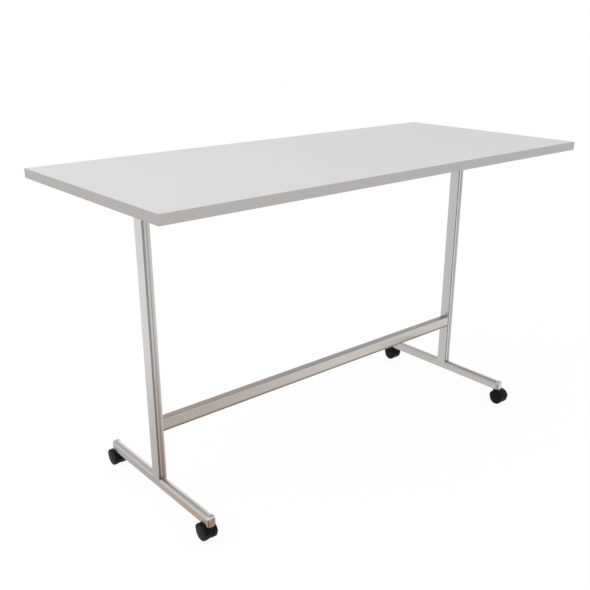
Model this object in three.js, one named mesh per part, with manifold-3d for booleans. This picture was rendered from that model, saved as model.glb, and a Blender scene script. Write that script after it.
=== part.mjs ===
// Standing-height flip top training table: a laminate top on two extruded aluminium T legs,
// joined by a low stretcher, rolling on four hooded twin-wheel casters.
// Millimetres, +Z up, origin on the floor under the middle of the top, front edge towards -Y.
import * as THREE from 'three';
import { mergeVertices } from 'three/addons/utils/BufferGeometryUtils.js';
import Module from 'manifold-3d';

// Overall sizes
const TABLE_LENGTH = 1800;
const TABLE_DEPTH = 800;
const TABLE_HEIGHT = 1074;
const TOP_THICKNESS = 30;
const EDGE_BAND = 2;
const EDGE_ROUND = 1;

// Clearances
const SLIP = 0.3;
const TURNING = 0.25;

// Columns: an H-like extrusion, two side walls with a channel front and back
const LEG_INSET = 175;
const LEG_SPACING = TABLE_LENGTH - 2 * LEG_INSET;
const COLUMN_WIDTH = 30;
const COLUMN_DEPTH = 40;
const COLUMN_WALL = 2;
const COLUMN_ROUND = 1;
const CHANNEL_DEPTH = 5;
const CHANNEL_FLOOR = 2;
const RIB_WIDTH = 6.4;
const RIB_HEIGHT = 3;
const HEAD_ROOM = 80;

// Feet: a round-topped hollow extrusion closed by end caps
const FOOT_LENGTH = 606;
const FOOT_WIDTH = 30;
const FOOT_HEIGHT = 34;
const FOOT_WALL = 2.5;
const FOOT_ARRIS = 1;
const FOOT_SHOULDER = 10;
const CAP_THICKNESS = 8;
const CAP_ROUND = 4;
const CAP_NOSE = 7.5;
const CAP_TONGUE = 18;
const COLUMN_PLUG_HEIGHT = 45;
const FOOT_BOLT = 8;
const FOOT_BOLT_REACH = 27;
const FOOT_BOLT_HEAD = 13;
const FOOT_BOLT_HEAD_HEIGHT = 5;

// Stretcher between the columns
const STRETCHER_HEIGHT = 42;
const STRETCHER_DEPTH = 32;
const STRETCHER_TOP_BELOW_TOP = 771.5;
const STRETCHER_WALL = 2;
const STRETCHER_ROUND = 3;
const STRETCHER_ARRIS = 0.5;
const STRETCHER_BORE_ROUND = 1;
const SHADOW_GROOVE = 1.5;
const SHADOW_GROOVE_BASE = 3;
const STRETCHER_PLUG_LENGTH = 30;
const STRETCHER_BOLT = 8;
const STRETCHER_BOLT_HEAD = 13;
const STRETCHER_BOLT_HEAD_LENGTH = 8;
const STRETCHER_BOLT_REACH = 22;

// Flip heads under the top
const PIVOT_DROP = 40;
const PIVOT_FORWARD = 12;
const HEAD_WEB = 14;
const HEAD_BOSS = 36;
const HEAD_FLANGE = 6;
const HEAD_TANG = 45;
const ARM_REACH = 46;
const BUFFER_LENGTH = 22;
const BUFFER_WIDTH = 12;
const BUFFER_THICKNESS = 4;
const BUFFER_ROUND = 1.5;
const BRACKET_PLATE = 3;
const BRACKET_WIDTH = 80;
const BRACKET_LENGTH = 140;
const BRACKET_ROUND = 8;
const CHEEK_THICKNESS = 4;
const CHEEK_BASE = 64;
const CHEEK_BOSS = 32;
const FRICTION_WASHER = 1.5;
const FRICTION_WASHER_WIDTH = 30;
const AXLE = 12;
const AXLE_HEAD = 22;
const AXLE_HEAD_LENGTH = 6;
const HANDLE_HUB = 24;
const HANDLE_HUB_LENGTH = 20;
const HANDLE_CAP = 3;
const HANDLE_LENGTH = 70;
const HANDLE_TIP = 14;
const HANDLE_THICKNESS = 11;

// Casters
const CASTER_HEIGHT = 60;
const CASTER_INSET = 17;
const CASTER_TRAIL = 15;
const WHEEL_DIAMETER = 56;
const WHEEL_FACETS = 24;
const WHEEL_WIDTH = 16.5;
const WHEEL_ROUND = 1.5;
const WHEEL_DOME = 2;
const WHEEL_RECESS = 0.8;
const WHEEL_WEB = 2.5;
const COVER_SHARE = 0.8;
const DOME_SHARE = 0.6;
const DOME_RISE = 0.7;
const CASTER_AXLE = 8;
const STEM = 10;
const STEM_LENGTH = 26;
const STEM_COLLAR = 16;
const STEM_COLLAR_HEIGHT = 1.2;
const STEM_SOCKET_DEPTH = 14;
const HOOD_WEB = 11;
const HOOD_BOSS = 24;
const HOOD_BOSS_HEIGHT = 16;
const HOOD_WEB_DISC = 50;
const HOOD_SKIN = 2.2;
const HOOD_GAP = 1;
const HOOD_RISE = 1.4;
const HOOD_WIDTH = 44;
const HOOD_LEADING_ANGLE = 180;
const HOOD_TRAILING_ANGLE = 4;
const PEDAL_THICKNESS = 4.4;
const PEDAL_HEIGHT = 5;
const PEDAL_PIVOT_BELOW_FOOT = 23;
const PEDAL_PIVOT_TRAIL = 2;
const PEDAL_DROP = 6;
const PEDAL_PIN = 3;
const PADDLE_WIDTH = 18;
const PADDLE_DEPTH = 5;
const PADDLE_ROUND = 2;
const PADDLE_CLEAR = 4;
const PEDAL_SWING = 6;

const wasm = await Module();
wasm.setup();

// A closed three.js geometry as a solid with its faces pointing out
function solid(geometry) {
  const plain = geometry.clone();
  plain.deleteAttribute('normal');
  plain.deleteAttribute('uv');
  const merged = mergeVertices(plain, 1e-4);
  const index = merged.index.array;
  const place = merged.attributes.position.array;
  const triangles = [];
  let volume = 0;
  for (let i = 0; i < index.length; i += 3) {
    const [a, b, c] = [index[i], index[i + 1], index[i + 2]];
    if (a === b || b === c || c === a) continue;
    triangles.push(a, b, c);
    const p = new THREE.Vector3().fromArray(place, 3 * a);
    const q = new THREE.Vector3().fromArray(place, 3 * b);
    const r = new THREE.Vector3().fromArray(place, 3 * c);
    volume += p.dot(q.cross(r));
  }
  const triVerts = new Uint32Array(volume < 0 ? triangles.reverse() : triangles);
  const vertProperties = new Float32Array(place);
  return new wasm.Manifold(new wasm.Mesh({ numProp: 3, vertProperties, triVerts }));
}

function geometryOf(body) {
  const mesh = body.getMesh();
  const geometry = new THREE.BufferGeometry();
  geometry.setAttribute('position', new THREE.BufferAttribute(new Float32Array(mesh.vertProperties), 3));
  geometry.setIndex(new THREE.BufferAttribute(new Uint32Array(mesh.triVerts), 1));
  return geometry;
}

const X = new THREE.Vector3(1, 0, 0);
const Y = new THREE.Vector3(0, 1, 0);
const Z = new THREE.Vector3(0, 0, 1);

// Extrusions of a shape drawn in (y, z), (x, z) or (x, y) along the axis that is left
function alongX(shape, x0, x1, curveSegments = 3) {
  const geometry = new THREE.ExtrudeGeometry(shape, { depth: x1 - x0, bevelEnabled: false, curveSegments });
  geometry.applyMatrix4(new THREE.Matrix4().makeBasis(Y, Z, X));
  return solid(geometry.translate(x0, 0, 0));
}

function alongY(shape, y0, y1, curveSegments = 3) {
  const geometry = new THREE.ExtrudeGeometry(shape, { depth: y1 - y0, bevelEnabled: false, curveSegments });
  geometry.applyMatrix4(new THREE.Matrix4().makeBasis(X, Z, Y.clone().negate()));
  return solid(geometry.translate(0, y1, 0));
}

function alongZ(shape, z0, z1, curveSegments = 3) {
  const geometry = new THREE.ExtrudeGeometry(shape, { depth: z1 - z0, bevelEnabled: false, curveSegments });
  return solid(geometry.translate(0, 0, z0));
}

function block(x0, x1, y0, y1, z0, z1) {
  const geometry = new THREE.BoxGeometry(x1 - x0, y1 - y0, z1 - z0);
  return solid(geometry.translate((x0 + x1) / 2, (y0 + y1) / 2, (z0 + z1) / 2));
}

// Round bars along X at (y, z) and along Z at (x, y)
function barX(diameter, x0, x1, y, z, sides = 14) {
  const geometry = new THREE.CylinderGeometry(diameter / 2, diameter / 2, x1 - x0, sides);
  return solid(geometry.rotateZ(-Math.PI / 2).translate((x0 + x1) / 2, y, z));
}

function barZ(diameter, z0, z1, x, y, sides = 14) {
  const geometry = new THREE.CylinderGeometry(diameter / 2, diameter / 2, z1 - z0, sides);
  return solid(geometry.rotateX(Math.PI / 2).translate(x, y, (z0 + z1) / 2));
}

// A rectangle with rounded corners, the radii given from lower left, anticlockwise
function roundedRectangle(u0, u1, v0, v1, radii, Outline = THREE.Shape) {
  const corners = [[u0, v0, Math.PI], [u1, v0, 1.5 * Math.PI], [u1, v1, 0], [u0, v1, 0.5 * Math.PI]];
  const outline = new Outline();
  corners.forEach(([u, v, turn], i) => {
    const r = radii[i];
    const cu = u === u0 ? u + r : u - r;
    const cv = v === v0 ? v + r : v - r;
    if (r > 0) outline.absarc(cu, cv, r, turn, turn + Math.PI / 2, false);
    else if (i === 0) outline.moveTo(u, v);
    else outline.lineTo(u, v);
  });
  outline.closePath();
  return outline;
}

function polygon(points) {
  return new THREE.Shape(points.map(([u, v]) => new THREE.Vector2(u, v)));
}

const finishes = {
  laminate: { color: 0xdadadb, roughness: 0.45, metalness: 0 },
  edging: { color: 0xb3b1ae, roughness: 0.5, metalness: 0 },
  aluminium: { color: 0xc9c8c7, roughness: 0.35, metalness: 0.9 },
  steel: { color: 0x9b9c9e, roughness: 0.4, metalness: 1 },
  painted: { color: 0x2a2a2c, roughness: 0.55, metalness: 0 },
  plastic: { color: 0x1b1b1b, roughness: 0.5, metalness: 0 },
  tread: { color: 0x232323, roughness: 0.7, metalness: 0 },
  rubber: { color: 0x1f1f1f, roughness: 0.9, metalness: 0 },
};

const table = new THREE.Group();

function add(name, body, finish, group = table) {
  const mesh = new THREE.Mesh(geometryOf(body), new THREE.MeshStandardMaterial(finishes[finish]));
  mesh.name = name;
  group.add(mesh);
}

const sides = [['left', -1], ['right', 1]];
const ends = [['front', -1], ['back', 1]];

// Top: a laminated core with a plastic band on each edge
const undersideZ = TABLE_HEIGHT - TOP_THICKNESS;
const coreX = TABLE_LENGTH / 2 - EDGE_BAND;
const coreY = TABLE_DEPTH / 2 - EDGE_BAND;
add('top_panel', block(-coreX, coreX, -coreY, coreY, undersideZ, TABLE_HEIGHT), 'laminate');

function bandProfile(side, inner) {
  const outer = side * (inner + EDGE_BAND);
  const radii = side < 0 ? [EDGE_ROUND, 0, 0, EDGE_ROUND] : [0, EDGE_ROUND, EDGE_ROUND, 0];
  return roundedRectangle(
    Math.min(side * inner, outer), Math.max(side * inner, outer), undersideZ, TABLE_HEIGHT, radii);
}

for (const [name, end] of ends) {
  add(`edge_band_${name}`, alongX(bandProfile(end, coreY), -TABLE_LENGTH / 2, TABLE_LENGTH / 2, 3), 'edging');
}
for (const [name, side] of sides) {
  add(`edge_band_${name}`, alongY(bandProfile(side, coreX), -coreY, coreY, 3), 'edging');
}

// Feet and their end caps, drawn round x = 0
const footBase = CASTER_HEIGHT;
const footTop = footBase + FOOT_HEIGHT;
const footEnd = FOOT_LENGTH / 2 - CAP_THICKNESS;
const chamberX = FOOT_WIDTH / 2 - FOOT_WALL;
const chamberShoulder = Math.max(FOOT_SHOULDER - FOOT_WALL, FOOT_ARRIS / 2);
const stemY = FOOT_LENGTH / 2 - CASTER_INSET;

function footOutline(grow) {
  const half = FOOT_WIDTH / 2 + grow;
  const shoulder = FOOT_SHOULDER + grow;
  return roundedRectangle(
    -half, half, footBase - grow, footTop + grow, [FOOT_ARRIS, FOOT_ARRIS, shoulder, shoulder]);
}

function footChamber(shrink, Outline) {
  const half = chamberX - shrink;
  return roundedRectangle(
    -half, half, footBase + FOOT_WALL + shrink, footTop - FOOT_WALL - shrink,
    [FOOT_ARRIS / 2, FOOT_ARRIS / 2, chamberShoulder, chamberShoulder], Outline);
}

function foot() {
  const profile = footOutline(0);
  profile.holes.push(footChamber(0, THREE.Path));
  let body = alongY(profile, -footEnd, footEnd);
  for (const [, end] of ends) {
    body = body.subtract(
      barZ(STEM + 2 * SLIP, footBase - 1, footBase + FOOT_WALL + 1, 0, end * stemY));
  }
  body = body.subtract(barZ(FOOT_BOLT + 2 * SLIP, footTop - FOOT_WALL - 1, footTop + 1, 0, 0));
  return body.subtract(barZ(FOOT_BOLT_HEAD + 2 * SLIP, footBase - 1, footBase + FOOT_WALL + 1, 0, 0));
}

// The plate is the foot's outline, rounded over at its outer end in side view and in plan.
// The tongue inside the foot is bored for the caster's stem.
function footCap(end) {
  const inner = end * footEnd;
  const outer = end * (footEnd + CAP_THICKNESS);
  const [y0, y1] = [Math.min(inner, outer), Math.max(inner, outer)];
  const half = FOOT_WIDTH / 2;
  const [r, nose] = [CAP_ROUND, CAP_NOSE];
  const sideView = roundedRectangle(y0, y1, footBase, footTop, end < 0 ? [r, 0, 0, r] : [0, r, r, 0]);
  const plan = roundedRectangle(-half, half, y0, y1, end < 0 ? [nose, nose, 0, 0] : [0, 0, nose, nose]);
  const plate = alongY(footOutline(0), y0, y1)
    .intersect(alongX(sideView, -half - 1, half + 1, 2))
    .intersect(alongZ(plan, footBase - 1, footTop + 1, 2));
  const tongueStart = end * (footEnd - CAP_TONGUE);
  const tongueEnd = end * (footEnd + CAP_ROUND / 2);
  const tongue = alongY(
    footChamber(SLIP, THREE.Shape), Math.min(tongueStart, tongueEnd), Math.max(tongueStart, tongueEnd));
  const socket = barZ(STEM + 2 * SLIP, footBase - 1, footBase + STEM_LENGTH + SLIP, 0, end * stemY);
  return plate.add(tongue).subtract(socket);
}

// Columns stand on the round top of the foot, coped to it
const columnTop = undersideZ - HEAD_ROOM;
const channelFloorY = COLUMN_DEPTH / 2 - CHANNEL_DEPTH;
const boreX = COLUMN_WIDTH / 2 - COLUMN_WALL;
const boreY = channelFloorY - CHANNEL_FLOOR;
const stretcherTop = TABLE_HEIGHT - STRETCHER_TOP_BELOW_TOP;
const stretcherZ = stretcherTop - STRETCHER_HEIGHT / 2;

function column(side) {
  const halfX = COLUMN_WIDTH / 2;
  const halfY = COLUMN_DEPTH / 2;
  const profile = roundedRectangle(-halfX, halfX, -halfY, halfY, Array(4).fill(COLUMN_ROUND));
  profile.holes.push(roundedRectangle(-boreX, boreX, -boreY, boreY, Array(4).fill(COLUMN_ROUND / 2), THREE.Path));
  const start = footTop - FOOT_SHOULDER;
  let body = alongZ(profile, start, columnTop, 3);
  const ribX = RIB_WIDTH / 2;
  for (const [, end] of ends) {
    const floor = end * channelFloorY;
    const ribFace = end * (channelFloorY + RIB_HEIGHT);
    const mouth = end * (halfY + 1);
    const channel = polygon([
      [-boreX, floor], [-ribX, floor], [-ribX, ribFace], [ribX, ribFace],
      [ribX, floor], [boreX, floor], [boreX, mouth], [-boreX, mouth],
    ]);
    body = body.subtract(alongZ(channel, start - 1, columnTop + 1));
  }
  body = body.subtract(alongY(footOutline(SLIP), -COLUMN_DEPTH, COLUMN_DEPTH));
  const innerFace = -side * halfX;
  const hole = barX(STRETCHER_BOLT + 2 * SLIP, innerFace - COLUMN_WALL - 1, innerFace + COLUMN_WALL + 1,
    0, stretcherZ);
  return body.subtract(hole);
}

const plugBase = footTop + SLIP;

function columnPlug() {
  const x = boreX - SLIP;
  const y = boreY - SLIP;
  const body = block(-x, x, -y, y, plugBase, plugBase + COLUMN_PLUG_HEIGHT);
  return body.subtract(barZ(FOOT_BOLT + 2 * SLIP, plugBase - 1, plugBase + FOOT_BOLT_REACH + 1, 0, 0));
}

// The bolt's head is saddle shaped, to seat in the round top of the foot
function footBolt() {
  const headTop = footTop - FOOT_WALL - SLIP;
  const head = barZ(FOOT_BOLT_HEAD, headTop - FOOT_BOLT_HEAD_HEIGHT, footTop, 0, 0)
    .intersect(alongY(footChamber(SLIP, THREE.Shape), -FOOT_BOLT_HEAD, FOOT_BOLT_HEAD));
  return head.add(barZ(FOOT_BOLT, headTop - FOOT_BOLT_HEAD_HEIGHT / 2, plugBase + FOOT_BOLT_REACH, 0, 0));
}

// Stretcher: a tube flush with the front of the columns, with a shadow groove low on both faces
const stretcherEnd = LEG_SPACING / 2 - COLUMN_WIDTH / 2;
const stretcherFront = -COLUMN_DEPTH / 2;
const stretcherBack = stretcherFront + STRETCHER_DEPTH;

function stretcher() {
  const base = stretcherTop - STRETCHER_HEIGHT;
  const profile = roundedRectangle(
    stretcherFront, stretcherBack, base, stretcherTop,
    [STRETCHER_ARRIS, STRETCHER_ARRIS, STRETCHER_ROUND, STRETCHER_ROUND]);
  profile.holes.push(roundedRectangle(
    stretcherFront + STRETCHER_WALL + SHADOW_GROOVE, stretcherBack - STRETCHER_WALL - SHADOW_GROOVE,
    base + STRETCHER_WALL, stretcherTop - STRETCHER_WALL, Array(4).fill(STRETCHER_BORE_ROUND), THREE.Path));
  let body = alongX(profile, -stretcherEnd, stretcherEnd, 4);
  for (const [y0, y1] of [
    [stretcherFront - 1, stretcherFront + SHADOW_GROOVE], [stretcherBack - SHADOW_GROOVE, stretcherBack + 1],
  ]) {
    body = body.subtract(block(
      -stretcherEnd - 1, stretcherEnd + 1, y0, y1,
      base + SHADOW_GROOVE_BASE, base + SHADOW_GROOVE_BASE + SHADOW_GROOVE));
  }
  return body;
}

// Plug pressed into the end of the stretcher, and the bolt that draws it to the column wall
function stretcherPlug(side) {
  const margin = STRETCHER_WALL + SHADOW_GROOVE + SLIP;
  const z0 = stretcherTop - STRETCHER_HEIGHT + STRETCHER_WALL + SLIP;
  const z1 = stretcherTop - STRETCHER_WALL - SLIP;
  const profile = roundedRectangle(
    stretcherFront + margin, stretcherBack - margin, z0, z1, Array(4).fill(STRETCHER_BORE_ROUND));
  const outer = side * (stretcherEnd - SLIP);
  const inner = side * (stretcherEnd - STRETCHER_PLUG_LENGTH);
  const body = alongX(profile, Math.min(outer, inner), Math.max(outer, inner), 2);
  const tapped = barX(STRETCHER_BOLT + 2 * SLIP, Math.min(outer, inner) - 1, Math.max(outer, inner) + 1,
    0, stretcherZ);
  return body.subtract(tapped);
}

function stretcherBolt(side) {
  const seat = side * (LEG_SPACING / 2 - boreX + SLIP);
  const headEnd = seat + side * STRETCHER_BOLT_HEAD_LENGTH;
  const tip = side * (stretcherEnd - STRETCHER_BOLT_REACH);
  const middle = seat + side * STRETCHER_BOLT_HEAD_LENGTH / 2;
  const head = barX(STRETCHER_BOLT_HEAD, Math.min(seat, headEnd), Math.max(seat, headEnd), 0, stretcherZ);
  return head.add(barX(STRETCHER_BOLT, Math.min(tip, middle), Math.max(tip, middle), 0, stretcherZ));
}

// Flip heads, drawn round x = 0: a cast head on the column and a pressed bracket on the top
const pivotY = -PIVOT_FORWARD;
const pivotZ = undersideZ - PIVOT_DROP;
const cheekInner = HEAD_WEB / 2 + FRICTION_WASHER + 2 * TURNING;
const cheekOuter = cheekInner + CHEEK_THICKNESS;
const seatZ = undersideZ - BRACKET_PLATE - BUFFER_THICKNESS - SLIP;
const webBase = columnTop + HEAD_FLANGE;

function flipHead() {
  const halfX = HEAD_WEB / 2;
  const boss = HEAD_BOSS / 2;
  const armBack = ARM_REACH;
  const armFront = ARM_REACH - BUFFER_LENGTH - 2;
  const web = polygon([
    [-COLUMN_DEPTH / 2, webBase - 1], [COLUMN_DEPTH / 2, webBase - 1], [armBack, seatZ - boss / 2],
    [armBack, seatZ], [armFront, seatZ], [pivotY + boss, pivotZ], [pivotY - boss, pivotZ],
  ]);
  let body = alongX(web, -halfX, halfX);
  body = body.add(barX(HEAD_BOSS, -halfX, halfX, pivotY, pivotZ, 24));
  const flange = roundedRectangle(
    -COLUMN_WIDTH / 2, COLUMN_WIDTH / 2, -COLUMN_DEPTH / 2, COLUMN_DEPTH / 2, Array(4).fill(COLUMN_ROUND));
  body = body.add(alongZ(flange, columnTop, webBase, 3));
  const tangX = boreX - SLIP;
  const tangY = boreY - SLIP;
  body = body.add(block(-tangX, tangX, -tangY, tangY, columnTop - HEAD_TANG, columnTop + 1));
  return body.subtract(barX(AXLE + 2 * TURNING, -halfX - 1, halfX + 1, pivotY, pivotZ));
}

function restBuffer() {
  const profile = roundedRectangle(
    ARM_REACH - BUFFER_LENGTH, ARM_REACH, seatZ, seatZ + BUFFER_THICKNESS, [0, 0, BUFFER_ROUND, BUFFER_ROUND]);
  return alongX(profile, -BUFFER_WIDTH / 2, BUFFER_WIDTH / 2, 3);
}

function topBracket() {
  const plate = roundedRectangle(
    -BRACKET_WIDTH / 2, BRACKET_WIDTH / 2, -BRACKET_LENGTH / 2, BRACKET_LENGTH / 2,
    Array(4).fill(BRACKET_ROUND));
  let body = alongZ(plate, undersideZ - BRACKET_PLATE, undersideZ, 4);
  const boss = CHEEK_BOSS / 2;
  const cheek = new THREE.Shape();
  cheek.moveTo(pivotY + CHEEK_BASE / 2, undersideZ - BRACKET_PLATE / 2);
  cheek.lineTo(pivotY - CHEEK_BASE / 2, undersideZ - BRACKET_PLATE / 2);
  cheek.absarc(pivotY, pivotZ, boss, Math.PI, 2 * Math.PI, false);
  cheek.closePath();
  for (const [, side] of sides) {
    const x0 = Math.min(side * cheekInner, side * cheekOuter);
    body = body.add(alongX(cheek, x0, x0 + CHEEK_THICKNESS, 8));
  }
  return body.subtract(barX(AXLE + 2 * TURNING, -cheekOuter - 1, cheekOuter + 1, pivotY, pivotZ));
}

function frictionWasher(side) {
  const inner = side * (HEAD_WEB / 2 + TURNING);
  const outer = inner + side * FRICTION_WASHER;
  const ring = barX(FRICTION_WASHER_WIDTH, Math.min(inner, outer), Math.max(inner, outer), pivotY, pivotZ);
  return ring.subtract(barX(AXLE + 2 * TURNING, -cheekOuter, cheekOuter, pivotY, pivotZ));
}

const handleStart = cheekOuter + SLIP;
const axleReach = handleStart + HANDLE_HUB_LENGTH - HANDLE_CAP - SLIP;

function pivotAxle(inward) {
  const headStart = -inward * (cheekOuter + SLIP);
  const headEnd = headStart - inward * AXLE_HEAD_LENGTH;
  const head = barX(AXLE_HEAD, Math.min(headStart, headEnd), Math.max(headStart, headEnd), pivotY, pivotZ, 6);
  const shankStart = headStart - inward * AXLE_HEAD_LENGTH / 2;
  const shankEnd = inward * axleReach;
  return head.add(
    barX(AXLE, Math.min(shankStart, shankEnd), Math.max(shankStart, shankEnd), pivotY, pivotZ));
}

function clampHandle(inward) {
  const span = (from, to) => [Math.min(inward * from, inward * to), Math.max(inward * from, inward * to)];
  const hubEnd = handleStart + HANDLE_HUB_LENGTH;
  const arm = new THREE.Shape();
  arm.absarc(pivotY + HANDLE_LENGTH, pivotZ, HANDLE_TIP / 2, -Math.PI / 2, Math.PI / 2, false);
  arm.absarc(pivotY, pivotZ, HANDLE_HUB / 2, Math.PI / 2, 1.5 * Math.PI, false);
  arm.closePath();
  const hub = barX(HANDLE_HUB, ...span(handleStart, hubEnd), pivotY, pivotZ, 20);
  const body = hub.add(alongX(arm, ...span(hubEnd - HANDLE_THICKNESS, hubEnd), 6));
  return body.subtract(
    barX(AXLE + 2 * TURNING, ...span(handleStart - 1, hubEnd - HANDLE_CAP), pivotY, pivotZ));
}

for (const [name, side] of sides) {
  const leg = new THREE.Group();
  leg.position.x = side * LEG_SPACING / 2;
  table.add(leg);
  add(`foot_${name}`, foot(), 'aluminium', leg);
  for (const [endName, end] of ends) add(`foot_cap_${endName}_${name}`, footCap(end), 'aluminium', leg);
  add(`column_${name}`, column(side), 'aluminium', leg);
  add(`column_plug_${name}`, columnPlug(), 'aluminium', leg);
  add(`foot_bolt_${name}`, footBolt(), 'steel', leg);
  add(`flip_head_${name}`, flipHead(), 'painted', leg);
  add(`rest_buffer_${name}`, restBuffer(), 'rubber', leg);
  add(`top_bracket_${name}`, topBracket(), 'painted', leg);
  add(`friction_washer_inner_${name}`, frictionWasher(-side), 'steel', leg);
  add(`friction_washer_outer_${name}`, frictionWasher(side), 'steel', leg);
  add(`pivot_axle_${name}`, pivotAxle(-side), 'steel', leg);
  add(`clamp_handle_${name}`, clampHandle(-side), 'plastic', leg);
}

add('stretcher', stretcher(), 'aluminium');
for (const [name, side] of sides) {
  add(`stretcher_plug_${name}`, stretcherPlug(side), 'aluminium');
  add(`stretcher_bolt_${name}`, stretcherBolt(side), 'steel');
}

// Casters, drawn with the stem at x = y = 0 and the wheels trailing towards +Y.
// Only the front right one is turned to trail towards -Y, as the photograph shows them.
// The wheels stand on a facet, so the axle is a facet's distance above the floor.
const wheelRadius = WHEEL_DIAMETER / 2;
const axleZ = wheelRadius * Math.cos(Math.PI / WHEEL_FACETS);
const hoodInner = wheelRadius + HOOD_GAP;
const hoodOuter = hoodInner + HOOD_SKIN;
const bossTop = CASTER_HEIGHT - STEM_COLLAR_HEIGHT - SLIP;
const bossBase = bossTop - HOOD_BOSS_HEIGHT;
const wheelInner = HOOD_WEB / 2 + 2 * TURNING;
const wheelOuter = wheelInner + WHEEL_WIDTH;
const pedalZ = CASTER_HEIGHT - PEDAL_PIVOT_BELOW_FOOT;
const pedalY = PEDAL_PIVOT_TRAIL;
const fenderFront = CASTER_TRAIL - hoodOuter;

function casterStem() {
  const collar = barZ(STEM_COLLAR, CASTER_HEIGHT - STEM_COLLAR_HEIGHT, CASTER_HEIGHT, 0, 0);
  return collar.add(barZ(STEM, bossTop - STEM_SOCKET_DEPTH, CASTER_HEIGHT + STEM_LENGTH - SLIP, 0, 0));
}

function casterAxle() {
  const half = wheelOuter - WHEEL_WEB - 2 * TURNING;
  return barX(CASTER_AXLE, -half, half, CASTER_TRAIL, axleZ);
}

// A wheel turned about its axle: inner face and bore on the left, domed cover on the right
function wheel(side) {
  const edge = wheelRadius - WHEEL_ROUND;
  const bore = CASTER_AXLE / 2 + TURNING;
  const boreEnd = wheelOuter - WHEEL_WEB;
  const cover = edge * COVER_SHARE;
  const profile = [
    [0, boreEnd], [bore, boreEnd], [bore, wheelInner], [edge, wheelInner],
    [wheelRadius, wheelInner + WHEEL_ROUND], [wheelRadius, wheelOuter - WHEEL_ROUND], [edge, wheelOuter],
    [cover + WHEEL_RECESS, wheelOuter], [cover, wheelOuter - WHEEL_RECESS],
    [cover * DOME_SHARE, wheelOuter + WHEEL_DOME * DOME_RISE], [0, wheelOuter + WHEEL_DOME],
  ].map(([r, x]) => new THREE.Vector2(r, side * x));
  const geometry = new THREE.LatheGeometry(profile, WHEEL_FACETS, Math.PI / WHEEL_FACETS);
  return solid(geometry.rotateZ(-Math.PI / 2).translate(0, CASTER_TRAIL, axleZ));
}

function casterHood(braked) {
  const fender = new THREE.Shape();
  const start = THREE.MathUtils.degToRad(HOOD_TRAILING_ANGLE);
  const finish = THREE.MathUtils.degToRad(HOOD_LEADING_ANGLE);
  fender.absarc(CASTER_TRAIL, axleZ + HOOD_RISE, hoodOuter - HOOD_RISE, start, finish, false);
  fender.absarc(CASTER_TRAIL, axleZ, hoodInner, finish, start, true);
  fender.closePath();
  let body = alongX(fender, -HOOD_WIDTH / 2, HOOD_WIDTH / 2, 8);
  const web = new THREE.Shape();
  web.absarc(CASTER_TRAIL, axleZ, hoodInner + (HOOD_SKIN - HOOD_RISE) / 2, start, finish, false);
  web.lineTo(CASTER_TRAIL, axleZ);
  web.closePath();
  body = body.add(alongX(web, -HOOD_WEB / 2, HOOD_WEB / 2, 8));
  body = body.add(barX(HOOD_WEB_DISC, -HOOD_WEB / 2, HOOD_WEB / 2, CASTER_TRAIL, axleZ));
  const boss = barZ(HOOD_BOSS, bossBase, bossTop, 0, 0);
  const clear = barX(2 * hoodInner, wheelInner - 2 * TURNING, HOOD_WIDTH, CASTER_TRAIL, axleZ, 24);
  const clearOther = barX(2 * hoodInner, -HOOD_WIDTH, -wheelInner + 2 * TURNING, CASTER_TRAIL, axleZ, 24);
  body = body.add(boss.subtract(clear).subtract(clearOther));
  body = body.subtract(barX(CASTER_AXLE + 2 * TURNING, -HOOD_WIDTH, HOOD_WIDTH, CASTER_TRAIL, axleZ));
  body = body.subtract(
    barZ(STEM + 2 * TURNING, bossTop - STEM_SOCKET_DEPTH - SLIP, bossTop + 1, 0, 0));
  if (!braked) return body;
  const slotX = PEDAL_THICKNESS / 2 + SLIP;
  const slotTop = pedalZ + PEDAL_HEIGHT / 2 + 1;
  const slotBase = pedalZ - PEDAL_DROP - PEDAL_HEIGHT / 2 - PEDAL_SWING;
  const slot = block(
    -slotX, slotX, fenderFront - 1, pedalY + PEDAL_HEIGHT / 2 + 1, slotBase, slotTop);
  return body.subtract(slot).subtract(
    barX(PEDAL_PIN + 2 * TURNING, -HOOD_WEB, HOOD_WEB, pedalY, pedalZ, 12));
}

// Brake pedal: a bar on a cross pin between the wheels, with a paddle ahead of the hood
function brakePedal() {
  const half = PEDAL_HEIGHT / 2;
  const paddleBack = fenderFront - PADDLE_CLEAR;
  const paddleFront = paddleBack - PADDLE_DEPTH;
  const arm = new THREE.Shape();
  arm.absarc(pedalY, pedalZ, half, -Math.PI / 2, Math.PI / 2, false);
  arm.lineTo(paddleBack - 1, pedalZ - PEDAL_DROP + half);
  arm.lineTo(paddleBack - 1, pedalZ - PEDAL_DROP - half);
  arm.closePath();
  const body = alongX(arm, -PEDAL_THICKNESS / 2, PEDAL_THICKNESS / 2, 6);
  const paddle = roundedRectangle(
    paddleFront, paddleBack, pedalZ - PEDAL_DROP - half, pedalZ - PEDAL_DROP + half,
    [PADDLE_ROUND, 0, 0, PADDLE_ROUND]);
  return body
    .add(alongX(paddle, -PADDLE_WIDTH / 2, PADDLE_WIDTH / 2, 4))
    .add(barX(PEDAL_PIN, -HOOD_WEB / 2, HOOD_WEB / 2, pedalY, pedalZ, 12));
}

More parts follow.
